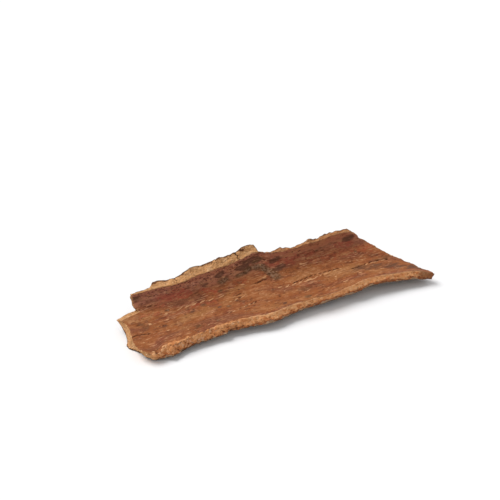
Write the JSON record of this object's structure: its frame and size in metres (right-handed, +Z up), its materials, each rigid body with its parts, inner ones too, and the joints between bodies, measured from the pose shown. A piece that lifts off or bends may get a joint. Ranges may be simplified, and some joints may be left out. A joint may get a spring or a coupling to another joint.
{
  "type": "piece of bark",
  "caption": "Dried strip of cassia bark curled into an open trough, smooth inner face up, with a low near rim, a steep far wall and broken ends.",
  "frame": {"origin": "on the surface that the bark lies on, under the middle of its box", "axes": "+X along the grain from the stepped left end to the pointed right end, -Y towards the low near rim, +Y towards the steep far wall, +Z up"},
  "size_m": [0.1002, 0.0304, 0.0131],
  "materials": {
    "bark": "dry and matt: fine fibres on the red-brown inner face, torn tan fibres on the rims and ends, rough grey-brown cork outside"
  },
  "bodies": {
    "root": {"bark": "bark"}
  },
  "joints": []
}
